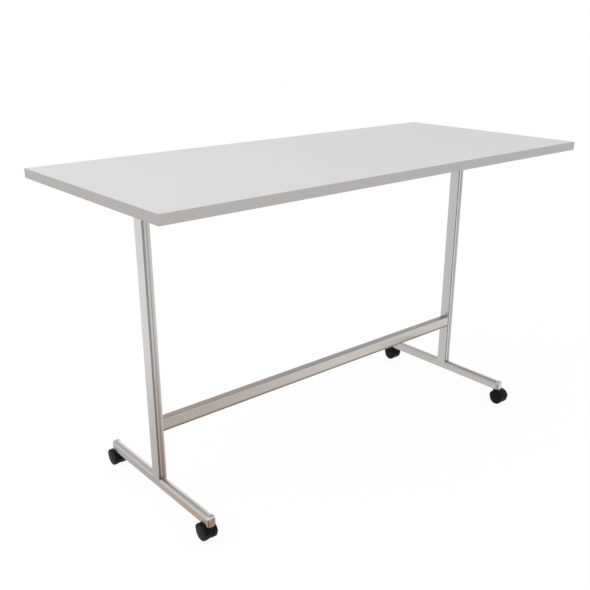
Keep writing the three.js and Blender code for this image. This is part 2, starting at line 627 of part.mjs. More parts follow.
for (const [sideName, side] of sides) {
  for (const [endName, end] of ends) {
    const caster = new THREE.Group();
    caster.position.set(side * LEG_SPACING / 2, end * stemY, 0);
    caster.rotation.z = end < 0 && side > 0 ? Math.PI : 0;
    table.add(caster);
    const place = `${endName}_${sideName}`;
    const braked = end > 0;
    add(`caster_stem_${place}`, casterStem(), 'steel', caster);
    add(`caster_hood_${place}`, casterHood(braked), 'plastic', caster);
    add(`caster_axle_${place}`, casterAxle(), 'steel', caster);
    add(`wheel_a_${place}`, wheel(-1), 'tread', caster);
    add(`wheel_b_${place}`, wheel(1), 'tread', caster);
    if (braked) add(`brake_pedal_${place}`, brakePedal(), 'plastic', caster);
  }
}

export default table;
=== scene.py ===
# Standing-height flip top training table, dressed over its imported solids.
# Metres, +Z up, the front edge towards -Y.
import math

import bmesh
import bpy
from mathutils import Matrix, Vector


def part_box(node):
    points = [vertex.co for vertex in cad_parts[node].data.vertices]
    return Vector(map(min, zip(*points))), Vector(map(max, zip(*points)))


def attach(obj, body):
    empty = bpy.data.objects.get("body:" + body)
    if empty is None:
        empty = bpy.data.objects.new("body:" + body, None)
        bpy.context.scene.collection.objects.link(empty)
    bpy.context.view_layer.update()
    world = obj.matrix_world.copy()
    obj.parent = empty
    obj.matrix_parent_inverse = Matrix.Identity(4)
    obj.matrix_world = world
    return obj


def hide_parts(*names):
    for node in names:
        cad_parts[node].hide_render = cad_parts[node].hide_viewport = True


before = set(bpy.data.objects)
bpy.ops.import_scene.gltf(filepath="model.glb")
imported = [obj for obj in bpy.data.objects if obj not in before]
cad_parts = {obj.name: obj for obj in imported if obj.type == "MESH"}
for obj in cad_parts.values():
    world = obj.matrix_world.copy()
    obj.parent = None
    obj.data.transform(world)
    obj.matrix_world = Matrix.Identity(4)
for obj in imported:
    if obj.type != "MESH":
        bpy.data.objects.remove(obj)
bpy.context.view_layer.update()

# Feet
# Hollow aluminium extrusions with round shoulders, sawn to length and satin anodised.
# Each stands on two casters and carries a column that is bolted to it from below.
MM = 0.001
X, Y, Z = range(3)
SIDES = ("left", "right")
ENDS = ("front", "back")
FOOT_SHOULDER = 12 * MM
SHOULDER_STEPS = 14
FOOT_WALL = 2.5 * MM
FOOT_ARRIS = 1 * MM
ARRIS_STEPS = 3
CAP_SKIRT = 4 * MM
STEM_HOLE = 5.3 * MM
BOLT_HOLE = 6.8 * MM
DRILL_REACH = 2 * FOOT_WALL + MM
DRUM_SIDES = 48
PARALLEL = 0.99
SMOOTH_ANGLE = math.radians(35)
DIE_LINES = 1400.0
DIE_BANDS = 90.0
DRAWN_OUT = 0.006
SATIN = 0.34
GRAIN_DEPTH = 0.2 * MM


def centre(node):
    low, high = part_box(node)
    return (low + high) / 2


def start(add, name, **shape):
    """Add a primitive with nothing else selected, and put its place, turn and size into its mesh."""
    bpy.ops.object.select_all(action="DESELECT")
    scale = shape.pop("scale", (1, 1, 1))
    add(**shape)
    piece = bpy.context.object
    piece.name = name
    piece.data.name = name
    piece.scale = scale
    bpy.ops.object.transform_apply(location=True, rotation=True, scale=True)
    return piece


def block(name, low, high):
    low, high = Vector(low), Vector(high)
    return start(bpy.ops.mesh.primitive_cube_add, name,
                 size=1, location=(low + high) / 2, scale=high - low)


def drum(name, middle, radius, length, axis, sides=DRUM_SIDES):
    """An upright cylinder, or one that lies along X."""
    turn = (0, math.pi / 2, 0) if axis == X else (0, 0, 0)
    return start(bpy.ops.mesh.primitive_cylinder_add, name,
                 vertices=sides, radius=radius, depth=length, location=middle, rotation=turn)


def take(piece):
    """Select a piece and nothing else, for an operator to act on."""
    bpy.ops.object.select_all(action="DESELECT")
    piece.select_set(True)
    bpy.context.view_layer.objects.active = piece


def edit(piece):
    take(piece)
    bpy.ops.object.mode_set(mode="EDIT")


def leave():
    bpy.ops.object.mode_set(mode="OBJECT")


def pick(kind, test):
    """Select the verts, edges or faces of the piece in hand that pass a test, and nothing else."""
    bpy.ops.mesh.select_mode(type={"verts": "VERT", "edges": "EDGE", "faces": "FACE"}[kind])
    bpy.ops.mesh.select_all(action="DESELECT")
    data = bpy.context.object.data
    shape = bmesh.from_edit_mesh(data)
    for part in getattr(shape, kind):
        part.select_set(test(part))
    shape.select_flush_mode()
    bmesh.update_edit_mesh(data)


def middle(part):
    return sum((v.co for v in part.verts), Vector()) / len(part.verts)


def runs(edge, axis):
    return abs((edge.verts[1].co - edge.verts[0].co).normalized()[axis]) > PARALLEL


def apply(piece, modifier):
    take(piece)
    bpy.ops.object.modifier_apply(modifier=modifier.name)


def cut(piece, tool, operation="DIFFERENCE"):
    """Cut or join a piece with a tool, which is used up."""
    modifier = piece.modifiers.new("cut", "BOOLEAN")
    modifier.operation = operation
    modifier.solver = "EXACT"
    modifier.object = tool
    apply(piece, modifier)
    bpy.data.objects.remove(tool)


def dress(piece, material, slot, body, *nodes):
    """Smooth a finished piece, give it its finish and let it stand for its solids."""
    take(piece)
    bpy.ops.object.shade_smooth_by_angle(angle=SMOOTH_ANGLE)
    piece.data.materials.clear()
    piece.data.materials.append(material)
    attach(piece, body)
    if nodes:
        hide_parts(*nodes)


def paint(red, green, blue):
    """A colour given as it looks on a screen, 0 to 255, in the linear values that shaders take."""
    return tuple((c / 255 / 12.92 if c < 11 else ((c / 255 + 0.055) / 1.055) ** 2.4)
                 for c in (red, green, blue)) + (1.0,)


class Wire:
    """One shader value. Arithmetic on wires adds Math nodes to their material."""

    def __init__(self, tree, socket=None):
        self.tree = tree
        self.socket = socket

    def add(self, kind, settings, sockets, out=0):
        node = self.tree.nodes.new(kind)
        for name, value in settings.items():
            setattr(node, name, value)
        for name, value in sockets.items():
            if isinstance(value, Wire):
                self.tree.links.new(value.socket, node.inputs[name])
            else:
                node.inputs[name].default_value = value
        return Wire(self.tree, node.outputs[out])

    def maths(self, operation, first, second=0.0):
        return self.add("ShaderNodeMath", {"operation": operation}, {0: first, 1: second})

    def __add__(self, other):
        return self.maths("ADD", self, other)

    __radd__ = __add__

    def __sub__(self, other):
        return self.maths("SUBTRACT", self, other)

    def __rsub__(self, other):
        return self.maths("SUBTRACT", other, self)

    def __mul__(self, other):
        return self.maths("MULTIPLY", self, other)

    __rmul__ = __mul__

    def __abs__(self):
        return self.maths("ABSOLUTE", self)

    def step(self, low, high):
        """0 below low, 1 above high, with a smooth step between them."""
        return self.add("ShaderNodeMapRange", {"interpolation_type": "SMOOTHSTEP"},
                        {"Value": self, "From Min": low, "From Max": high}, "Result")

    def tint(self, under, over):
        """The colour under where this mask is 0, and over where it is 1."""
        return self.add("ShaderNodeMix", {"data_type": "RGBA"}, {0: self, 6: under, 7: over}, 2)

    def part(self, axis):
        return self.add("ShaderNodeSeparateXYZ", {}, {0: self}, axis)

    def facing(self):
        """The direction that the surface faces at this place."""
        return self.add("ShaderNodeNewGeometry", {}, {}, "Normal")

    def stretched(self, x, y, z):
        return self.add("ShaderNodeVectorMath", {"operation": "MULTIPLY"}, {0: self, 1: (x, y, z)})

    def noise(self, scale, detail):
        return self.add("ShaderNodeTexNoise", {},
                        {"Vector": self, "Scale": scale, "Detail": detail}, "Fac")

    def bump(self, strength, depth):
        return self.add("ShaderNodeBump", {},
                        {"Strength": strength, "Distance": depth, "Height": self}, "Normal")

    def into(self, shader, name):
        self.tree.links.new(self.socket, shader.inputs[name])


def finish(name, **constants):
    """A new material with its constant values set, its shader, and the place of a point on it."""
    material = bpy.data.materials.new(name)
    material.use_nodes = True
    shader = material.node_tree.nodes["Principled BSDF"]
    for socket, value in constants.items():
        shader.inputs[socket.replace("_", " ")].default_value = value
    place = Wire(material.node_tree).add("ShaderNodeTexCoord", {}, {}, "Object")
    return material, shader, place


def drawn_metal(shader, place, grain, colour, rough):
    """Fine die lines along an extrusion: they lighten and darken it and scatter its gloss."""
    line = place.stretched(*grain).noise(DIE_LINES, 3.0)
    broad = place.stretched(*grain).noise(DIE_BANDS, 1.0)
    streak = (line - 0.5) * 0.10 + (broad - 0.5) * 0.07
    shade = (streak + 0.5).step(0.3, 0.7)
    dull = shade.add("ShaderNodeMix", {"data_type": "RGBA", "blend_type": "MULTIPLY"},
                     {0: 1.0, 6: colour, 7: paint(243, 243, 243)}, 2)
    shade.tint(dull, colour).into(shader, "Base Color")
    (streak * 0.8 + rough).into(shader, "Roughness")
    line.bump(0.05, GRAIN_DEPTH).into(shader, "Normal")


LEG_X = centre("foot_right").x


def on_left(place):
    """1 on the left leg and 0 on the right one."""
    return (0.0 - place.part(X)).step(-LEG_X / 2, LEG_X / 2)


def off_leg(place, left):
    """The distance to the right of the middle of a leg."""
    return place.part(X) + left * (2 * LEG_X) - LEG_X


def foot_metal():
    material, shader, place = finish("satin aluminium foot", Metallic=1.0)
    # Painted light: the foot's colour stands for the shade and reflections on its round top. The crown
    # and upper shoulders are painted as shade, the near shoulder carries a painted highlight, the far
    # shoulder and the far half of the flat top a near-white painted reflection, and the front of the
    # left foot's flank a warm brown painted reflection. The two feet are painted with different light.
    facing = place.facing()
    up = facing.part(Z)
    left = on_left(place)
    near = (0.0 - place.part(Y)).step(-0.25, 0.30)
    flank = left.tint(paint(194, 191, 190), near.tint(paint(177, 169, 168), paint(179, 161, 147)))
    rim_highlight = left.tint(paint(190, 187, 186), paint(204, 199, 195))
    edge = up.step(0.06, 0.24).tint(flank, rim_highlight)
    dark = left.tint(paint(170, 166, 166), near.tint(paint(176, 173, 171), paint(181, 178, 175)))
    shoulder = up.step(0.48, 0.78).tint(edge, dark)
    top = off_leg(place, left).step(-5 * MM, 5 * MM).tint(dark, paint(243, 242, 241))
    crest = up.step(0.97, 0.999).tint(shoulder, top)
    far_reflection = facing.part(X).step(0.02, 0.4) * up.step(0.2, 0.5)
    colour = far_reflection.tint(crest, left.tint(paint(232, 231, 230), paint(251, 250, 249)))
    drawn_metal(shader, place, (1.0, DRAWN_OUT, 1.0), colour, SATIN)
    return material


FOOT_METAL = foot_metal()

for side in SIDES:
    low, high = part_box(f"foot_{side}")
    halfway = (low + high) / 2
    sawn = Vector((0, CAP_SKIRT, 0))
    rail = block(f"foot_rail_{side}", low + sawn, high - sawn)
    edit(rail)
    pick("edges", lambda e: runs(e, Y) and middle(e).z > halfway.z)
    bpy.ops.mesh.bevel(offset=FOOT_SHOULDER, segments=SHOULDER_STEPS, affect="EDGES")
    pick("edges", lambda e: runs(e, Y) and middle(e).z < low.z + FOOT_ARRIS / 2)
    bpy.ops.mesh.bevel(offset=FOOT_ARRIS, segments=ARRIS_STEPS, affect="EDGES")
    pick("faces", lambda f: abs(f.normal.y) > PARALLEL)
    bpy.ops.mesh.inset(thickness=FOOT_WALL)
    bpy.ops.mesh.delete(type="FACE")
    pick("edges", lambda e: e.is_boundary)
    bpy.ops.mesh.bridge_edge_loops()
    bpy.ops.mesh.select_all(action="SELECT")
    bpy.ops.mesh.normals_make_consistent(inside=False)
    leave()
    for end in ENDS:
        stem = centre(f"caster_stem_{end}_{side}")
        cut(rail, drum("drill", (stem.x, stem.y, low.z), STEM_HOLE, DRILL_REACH, Z))
    cut(rail, drum("drill", (halfway.x, halfway.y, low.z), BOLT_HOLE, DRILL_REACH, Z))
    dress(rail, FOOT_METAL, "aluminium", "base", f"foot_{side}")

# Foot caps
# Cast aluminium plugs pressed into the ends of the feet, a little proud of their round tops, each
# with a nose that is rounded in side view and in plan. A fine seam shows where it meets the foot.
CAP_SHOULDER = 11 * MM
CAP_PROUD = 0.5 * MM
CAP_LIP = 0.3 * MM
CAP_REACH = 3 * MM
CAP_ROUND = 7 * MM
CAP_NOSE = 10.5 * MM
CAP_SEAM = 0.4 * MM
CAP_NEAR = 0.01 * MM
EDGE_STEPS = 2
SHARP_ANGLE = math.radians(30)


def soften(piece, width, segments=EDGE_STEPS, limit="ANGLE"):
    """Round the sharp edges of a piece, or those that were given a weight."""
    modifier = piece.modifiers.new("soften", "BEVEL")
    modifier.width = width
    modifier.segments = segments
    modifier.limit_method = limit
    modifier.angle_limit = SHARP_ANGLE
    apply(piece, modifier)


def cap_metal():
    material, shader, place = finish("cast aluminium cap", Metallic=1.0)
    # Painted light: the nose is painted pale and the sides grey as reflections, a darker painted shade
    # lies in the band where the nose turns into the sides, a painted highlight runs along the rounded
    # top edge, and the top is painted mid grey. On the front of the left foot these colours take a warm
    # brown painted reflection.
    facing = place.facing()
    up = facing.part(Z)
    warm_reflection = on_left(place) * (0.0 - place.part(Y)).step(-0.1, 0.1)
    outward = abs(facing.part(Y))
    forward = outward.step(0.5, 0.9)
    corner_shade = outward.step(0.4, 0.55) * (1.0 - outward.step(0.75, 0.9))
    warm = forward.tint(paint(176, 154, 138), paint(160, 136, 117))
    cool = forward.tint(paint(180, 178, 177), paint(228, 224, 221))
    shadow = warm_reflection.tint(paint(138, 134, 133), paint(126, 101, 82))
    face = corner_shade.tint(warm_reflection.tint(cool, warm), shadow)
    rim_highlight = up.step(0.08, 0.3) * (1.0 - up.step(0.55, 0.9))
    shine = warm_reflection.tint(paint(197, 194, 192), paint(214, 209, 205))
    colour = rim_highlight.tint(up.step(0.3, 0.7).tint(face, paint(190, 185, 181)), shine)
    drawn_metal(shader, place, (1.0, 1.0, 0.05), colour, 0.36)
    return material


CAP_METAL = cap_metal()

for side in SIDES:
    for end in ENDS:
        rail_low, rail_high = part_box(f"foot_{side}")
        low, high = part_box(f"foot_cap_{end}_{side}")
        if end == "front":
            low.y -= CAP_REACH
            high.y = rail_low.y + CAP_SKIRT
        else:
            low.y = rail_high.y - CAP_SKIRT
            high.y += CAP_REACH
        low.x = rail_low.x - CAP_LIP
        high.x = rail_high.x + CAP_LIP
        high.z = rail_high.z + CAP_PROUD
        outer, inner = (low.y, high.y) if end == "front" else (high.y, low.y)
        cap = block(f"foot_end_{end}_{side}", low, high)
        edit(cap)
        for axis, radius in ((X, CAP_ROUND), (Y, CAP_SHOULDER), (Z, CAP_NOSE)):
            pick("edges", lambda e: runs(e, axis)
                 and (axis == Y or abs(middle(e).y - outer) < CAP_NEAR)
                 and (axis == Z or middle(e).z > high.z - CAP_NEAR))
            bpy.ops.transform.edge_bevelweight(value=radius / CAP_SHOULDER)
        leave()
        soften(cap, CAP_SHOULDER, SHOULDER_STEPS, "WEIGHT")
        edit(cap)
        pick("edges", lambda e: all(abs(v.co.y - inner) < CAP_NEAR for v in e.verts))
        bpy.ops.mesh.bevel(offset=CAP_SEAM, segments=EDGE_STEPS, affect="EDGES")
        leave()
        dress(cap, CAP_METAL, "aluminium", "base", f"foot_cap_{end}_{side}")

# Columns
# Aluminium extrusions with a ribbed channel in the front and back faces and a bore between them.
# The lower end is coped to sit over the round top of the foot.
COLUMN_WALL = 2 * MM
COLUMN_ARRIS = 0.5 * MM
CHANNEL_DEPTH = 5 * MM
CHANNEL_FLOOR = 2 * MM
RIB_HALF = 3.2 * MM
RIB_HEIGHT = 3 * MM
COPE_GAP = 0.3 * MM
COLUMN_HALF_DEPTH = (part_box("column_left")[1].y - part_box("column_left")[0].y) / 2
BORE_HALF_DEPTH = COLUMN_HALF_DEPTH - CHANNEL_DEPTH - CHANNEL_FLOOR
CHANNEL_SIDE = (13.1 * MM, 13.5 * MM)
BELOW_LIP = (0.4 * MM, 1.2 * MM)
BELOW_RIB = (2.8 * MM, 4.2 * MM)
LIT_HALF = (4.5 * MM, 10.5 * MM)


def sharp(edge):
    return edge.is_manifold and edge.calc_face_angle() > SHARP_ANGLE


def scribe(axis, place):
    """Split the faces of the piece in hand along a plane square to an axis."""
    square = Vector((axis == X, axis == Y, axis == Z))
    bpy.ops.mesh.select_all(action="SELECT")
    bpy.ops.mesh.bisect(plane_co=square * place, plane_no=square)


def pull(x, y, z):
    """Extrude the faces or edges that are selected."""
    bpy.ops.mesh.extrude_region_move(TRANSFORM_OT_translate={"value": (x, y, z)})


def column_metal():
    material, shader, place = finish("satin aluminium column", Specular_IOR_Level=0.5)
    # Painted light: the channel's grooves are painted as shade, lighter on the half towards +X where
    # light would reach. Its side walls are painted near white as lit. The sides, lips and rib of the
    # left column are painted darker and warmer low down, as painted shade and a warm painted reflection
    # from the floor, and lighter high up. The right column has painted light of its own that doesn't
    # change with height.
    sunk = COLUMN_HALF_DEPTH - abs(place.part(Y))
    left = on_left(place)
    across = off_leg(place, left)
    high = place.part(Z).step(0.10, 0.65)
    flank = left.tint(paint(199, 198, 199), high.tint(paint(183, 176, 174), paint(218, 217, 217)))
    lip = left.tint(paint(222, 221, 220), high.tint(paint(214, 202, 191), paint(226, 225, 223)))
    rib = left.tint(paint(224, 223, 222), high.tint(paint(176, 157, 149), paint(211, 209, 207)))
    shaded_groove = left.tint(paint(100, 99, 99), high.tint(paint(136, 117, 106), paint(160, 158, 157)))
    lit_groove = left.tint(paint(206, 205, 204),
                           high.tint(paint(186, 168, 159), paint(222, 220, 218)))
    front = abs(place.facing().part(Y)).step(0.5, 0.8)
    inside = (1.0 - abs(across).step(*CHANNEL_SIDE)) * sunk.step(*BELOW_LIP)
    deep = across.step(*LIT_HALF).tint(shaded_groove, lit_groove)
    channel = sunk.step(*BELOW_RIB).tint(rib, deep)
    lit_wall = front.tint(paint(254, 253, 251), channel)
    colour = inside.tint(front.tint(flank, lip), lit_wall)
    drawn_metal(shader, place, (1.0, 1.0, DRAWN_OUT), colour, inside * 0.12 + SATIN)
    (1.0 - inside * (1.0 - front) * 0.9).into(shader, "Metallic")
    return material


COLUMN_METAL = column_metal()

for side in SIDES:
    low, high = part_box(f"column_{side}")
    foot_low, foot_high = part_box(f"foot_{side}")
    low.z = foot_high.z - FOOT_SHOULDER
    halfway = (low + high) / 2
    bore = (high.x - low.x) / 2 - COLUMN_WALL
    post = block(f"column_post_{side}", low, high)
    edit(post)
    for offset in (-bore, -RIB_HALF, RIB_HALF, bore):
        scribe(X, halfway.x + offset)
    for way in (-1, 1):
        pick("faces", lambda f: f.normal.y * way > PARALLEL and abs(middle(f).x - halfway.x) < bore)
        pull(0, -way * (CHANNEL_DEPTH - RIB_HEIGHT), 0)
        pick("faces", lambda f: f.normal.y * way > PARALLEL
             and RIB_HALF < abs(middle(f).x - halfway.x) < bore)
        pull(0, -way * RIB_HEIGHT, 0)
    pick("edges", lambda e: runs(e, Z) and sharp(e))
    bpy.ops.mesh.bevel(offset=COLUMN_ARRIS, segments=ARRIS_STEPS, affect="EDGES")
    leave()
    cut(post, block("bore", (halfway.x - bore, -BORE_HALF_DEPTH, low.z - MM),
                    (halfway.x + bore, BORE_HALF_DEPTH, high.z + MM)))
    grown = Vector((COPE_GAP, 0, COPE_GAP))
    cope = block("cope", foot_low - grown, foot_high + grown)
    edit(cope)
    pick("edges", lambda e: runs(e, Y) and middle(e).z > foot_high.z)
    bpy.ops.mesh.bevel(offset=FOOT_SHOULDER + COPE_GAP, segments=SHOULDER_STEPS, affect="EDGES")
    leave()
    cut(post, cope)
    dress(post, COLUMN_METAL, "aluminium", "base", f"column_{side}")

# Column fixings
# A milled aluminium plug in the foot of each column and the steel bolt drawn up into it.
# Both are hidden, but for the bolt's head at the bottom of its access hole.


def milled_metal():
    material, shader, place = finish("milled aluminium plug", Metallic=1.0)
    turned = place.noise(700.0, 3.0)
    turned.tint(paint(172, 172, 174), paint(198, 198, 199)).into(shader, "Base Color")
    (turned * 0.15 + 0.32).into(shader, "Roughness")
    return material


def plated_steel():
    material, shader, place = finish("zinc plated steel", Metallic=1.0)
    mottle = place.noise(260.0, 4.0)
    fine = place.noise(1800.0, 2.0)
    mottle.tint(paint(150, 151, 153), paint(186, 187, 188)).into(shader, "Base Color")
    (fine * 0.2 + 0.25).into(shader, "Roughness")
    fine.bump(0.08, GRAIN_DEPTH).into(shader, "Normal")
    return material


MILLED_METAL = milled_metal()
PLATED_STEEL = plated_steel()


def keep(node, material):
    """Leave a solid as it is and give it its finish."""
    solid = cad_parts[node]
    solid.data.materials.clear()
    solid.data.materials.append(material)


for side in SIDES:
    keep(f"column_plug_{side}", MILLED_METAL)
    keep(f"foot_bolt_{side}", PLATED_STEEL)

# Stretcher
# An aluminium extrusion between the columns, flush with their fronts, with rounded upper edges and
# a shadow groove low on both faces. A plug and a bolt in each end draw it against the column wall.
STRETCHER_WALL = 2 * MM
STRETCHER_ROUND = 3 * MM
STRETCHER_STEPS = 6
STRETCHER_ARRIS = 0.5 * MM
GROOVE = 1.5 * MM
GROOVE_BASE = 3 * MM
STRETCHER_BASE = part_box("stretcher")[0].z
ABOVE_LIP = (4.5 * MM, 11 * MM)


def stretcher_metal():
    material, shader, place = finish("satin aluminium stretcher", Metallic=1.0)
    # Painted light: the top face is painted darker as shade, the rounded top edges carry a painted
    # highlight, the strip below the groove a warm brown painted reflection, and the faces are painted
    # darker towards the left end.
    up = place.facing().part(Z)
    along = place.part(X).step(-0.75, 0.1)
    flank = along.tint(paint(186, 177, 172), paint(209, 204, 200))
    lip = 1.0 - (place.part(Z) - STRETCHER_BASE).step(*ABOVE_LIP)
    face = lip.tint(flank, along.tint(paint(160, 143, 112), paint(170, 155, 132)))
    edge = up.step(0.12, 0.5).tint(face, paint(204, 200, 197))
    top = along.tint(paint(162, 149, 142), paint(153, 148, 145))
    colour = up.step(0.88, 0.98).tint(edge, top)
    drawn_metal(shader, place, (DRAWN_OUT, 1.0, 1.0), colour, SATIN)
    return material


low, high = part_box("stretcher")
rail = block("stretcher_rail", low, high)
edit(rail)
for level in (GROOVE_BASE, GROOVE_BASE + GROOVE):
    scribe(Z, low.z + level)
groove_z = low.z + GROOVE_BASE + GROOVE / 2
for way in (-1, 1):
    pick("faces", lambda f: f.normal.y * way > PARALLEL and abs(middle(f).z - groove_z) < GROOVE / 2)
    pull(0, -way * GROOVE, 0)
pick("edges", lambda e: runs(e, X) and middle(e).z > high.z - MM and sharp(e))
bpy.ops.mesh.bevel(offset=STRETCHER_ROUND, segments=STRETCHER_STEPS, affect="EDGES")
pick("edges", lambda e: runs(e, X) and middle(e).z < low.z + GROOVE_BASE + 2 * GROOVE and sharp(e)
     and min(abs(middle(e).y - low.y), abs(middle(e).y - high.y)) < MM / 2)
bpy.ops.mesh.bevel(offset=STRETCHER_ARRIS, segments=EDGE_STEPS, affect="EDGES")
leave()
inset = Vector((-MM, STRETCHER_WALL + GROOVE, STRETCHER_WALL))
cut(rail, block("bore", low + inset, high - inset))
dress(rail, stretcher_metal(), "aluminium", "base", "stretcher")
for side in SIDES:
    keep(f"stretcher_plug_{side}", MILLED_METAL)
    keep(f"stretcher_bolt_{side}", PLATED_STEEL)

# Caster stems
# Turned steel pins with a wide collar that seats under the foot. The pin goes up into the foot
# and down into the hood, which swivels on it.
COLLAR_HEIGHT = 1.2 * MM
COLLAR_EDGE = 0.3 * MM
PIN_RADIUS = 5 * MM
PLACES = tuple((end, side) for side in SIDES for end in ENDS)

for end, side in PLACES:
    low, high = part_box(f"caster_stem_{end}_{side}")
    foot_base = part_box(f"foot_{side}")[0].z
    axis = (low + high) / 2
    collar_half = (high.x - low.x) / 2
    pin = drum(f"stem_pin_{end}_{side}", (axis.x, axis.y, foot_base - COLLAR_HEIGHT / 2),
               collar_half, COLLAR_HEIGHT, Z)
    edit(pin)
    pick("edges", lambda e: not runs(e, Z))
    bpy.ops.mesh.bevel(offset=COLLAR_EDGE, segments=ARRIS_STEPS, affect="EDGES")
    for up, reach in ((1, high.z - foot_base), (-1, foot_base - COLLAR_HEIGHT - low.z)):
        pick("faces", lambda f: f.normal.z * up > PARALLEL)
        bpy.ops.mesh.inset(thickness=collar_half - COLLAR_EDGE - PIN_RADIUS)
        pull(0, 0, up * reach)
    leave()
    dress(pin, PLATED_STEEL, "steel", "base", f"caster_stem_{end}_{side}")
    keep(f"caster_axle_{end}_{side}", PLATED_STEEL)

# Casters: hoods
# Moulded black nylon: a curved guard over both wheels, a web between them that holds the axle,
# and a round boss that turns on the stem. The two back ones have a slot for the brake pedal.
HOOD_SKIN = 2.2 * MM
HOOD_RISE = 1.4 * MM
HOOD_WEB = 11 * MM
HOOD_EDGE = 0.3 * MM
HOOD_START = math.radians(4)
HOOD_FINISH = math.radians(180)
HOOD_STEPS = 40
GUARD_OUTER = 31.2 * MM
GUARD_INNER = GUARD_OUTER - HOOD_SKIN
GUARD_MIDDLE = GUARD_OUTER - HOOD_SKIN / 2
BOSS_RADIUS = 12 * MM
BOSS_HEIGHT = 16 * MM
BOSS_GAP = 0.3 * MM
WHEEL_ROOM = 40 * MM
SLOT_HALF = 2.5 * MM
SLOT_BASE = 22.5 * MM
SLOT_TOP = 40.5 * MM
SLOT_BEHIND_STEM = 5.5 * MM
WEB_INNER = 9 * MM
WEB_DISC = 26.6 * MM
AXLE_BORE = 4.25 * MM
FINE_SIDES = 64
MERGE = 0.001 * MM
STEM = centre("caster_stem_back_left")
HUB = centre("wheel_b_back_left")
HUB.x = STEM.x


def black_moulding(name, rough, gloss):
    material, shader, place = finish(name, Specular_IOR_Level=gloss)
    grain = place.noise(2400.0, 2.0)
    bloom = place.noise(60.0, 3.0)
    bloom.step(0.35, 0.7).tint(paint(9, 8, 8), paint(14, 13, 12)).into(shader, "Base Color")
    (bloom * 0.12 + rough).into(shader, "Roughness")
    grain.bump(0.12, GRAIN_DEPTH).into(shader, "Normal")
    return material


def hood_shell(name, width):
    """A T section, guard and web, spun about the axle.

    The guard's outer face is then drawn in and raised, which thins its ends.
    """
    outward = Vector((0, math.cos(HOOD_START), math.sin(HOOD_START)))
    shell = start(bpy.ops.mesh.primitive_plane_add, name, size=1,
                  location=HUB + outward * GUARD_MIDDLE,
                  rotation=(HOOD_START, 0, 0), scale=(width, HOOD_SKIN, 1))
    edit(shell)
    for offset in (-HOOD_WEB / 2, HOOD_WEB / 2):
        scribe(X, HUB.x + offset)
    pick("edges", lambda e: runs(e, X) and abs(middle(e).x - HUB.x) < HOOD_WEB / 2
         and (middle(e) - HUB).length < GUARD_MIDDLE)
    pull(*(outward * (WEB_INNER - GUARD_INNER)))
    bpy.ops.mesh.select_all(action="SELECT")
    bpy.ops.mesh.spin(steps=HOOD_STEPS, angle=HOOD_START - HOOD_FINISH, center=HUB, axis=(1, 0, 0))
    bpy.ops.mesh.select_all(action="SELECT")
    bpy.ops.mesh.remove_doubles(threshold=MERGE)
    bpy.ops.mesh.normals_make_consistent(inside=False)
    pick("verts", lambda v: (v.co - HUB).yz.length > GUARD_MIDDLE)
    share = 1 - HOOD_RISE / GUARD_OUTER
    bpy.ops.transform.resize(value=(1, share, share), center_override=HUB)
    bpy.ops.transform.translate(value=(0, 0, HOOD_RISE))
    leave()
    return shell


def caster_move(end, side):
    """How a caster modelled at the back left goes to its own place, the front right one turned about."""
    stem = centre(f"caster_stem_{end}_{side}")
    turn = math.pi if (end, side) == ("front", "right") else 0
    return (Matrix.Translation((stem.x, stem.y, 0)) @ Matrix.Rotation(turn, 4, "Z")
            @ Matrix.Translation((-STEM.x, -STEM.y, 0)))


def twin(piece, name, move):
    """A copy with its own mesh, moved to its own place."""
    other = piece.copy()
    other.data = piece.data.copy()
    other.data.transform(move)
    other.name = name
    other.data.name = name
    bpy.context.scene.collection.objects.link(other)
    return other


HOOD_PLASTIC = black_moulding("moulded black nylon hood", 0.42, 0.12)
low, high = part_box("caster_hood_back_left")
pattern = hood_shell("hood_pattern", high.x - low.x)
boss_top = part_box("foot_left")[0].z - COLLAR_HEIGHT - BOSS_GAP
boss = drum("boss", (STEM.x, STEM.y, boss_top - BOSS_HEIGHT / 2), BOSS_RADIUS, BOSS_HEIGHT,
            Z, FINE_SIDES)
for inward in (-1, 1):
    room = HUB + Vector((inward * (HOOD_WEB + WHEEL_ROOM) / 2, 0, 0))
    cut(boss, drum("wheel_room", room, GUARD_INNER, WHEEL_ROOM, X, FINE_SIDES))
cut(pattern, boss, "UNION")
cut(pattern, drum("web_disc", HUB, WEB_DISC, HOOD_WEB, X, FINE_SIDES), "UNION")
cut(pattern, drum("axle_bore", HUB, AXLE_BORE, 2 * HOOD_WEB, X))
braked_pattern = twin(pattern, "braked_pattern", Matrix())
slot_low = Vector((STEM.x - SLOT_HALF, HUB.y - GUARD_OUTER - MM, SLOT_BASE))
slot_high = Vector((STEM.x + SLOT_HALF, STEM.y + SLOT_BEHIND_STEM, SLOT_TOP))
cut(braked_pattern, block("pedal_slot", slot_low, slot_high))
for source in (pattern, braked_pattern):
    soften(source, HOOD_EDGE)
for end, side in PLACES:
    source = braked_pattern if end == "back" else pattern
    guard = twin(source, f"hood_guard_{end}_{side}", caster_move(end, side))
    dress(guard, HOOD_PLASTIC, "black_plastic", f"caster_{end}_{side}", f"caster_hood_{end}_{side}")
bpy.data.objects.remove(pattern)
bpy.data.objects.remove(braked_pattern)

# Casters: wheels
# Black nylon wheels in pairs, each with a softly rounded tread and a domed cover pressed into its
# outer face. A groove runs round the cover and a small cap closes the axle.
WHEEL_RADIUS = HUB.z
WHEEL_SIDES = 96
WHEEL_ROUND = 1.5 * MM
WHEEL_STEPS = 5
TYRE_WALL = 1.2 * MM
COVER_GROOVE = 0.8 * MM
COVER_RISE = 2 * MM
COVER_RINGS = 8
BORE_DEPTH = 14 * MM
AXLE_CAP = 6 * MM
AXLE_CAP_STEP = 0.35 * MM


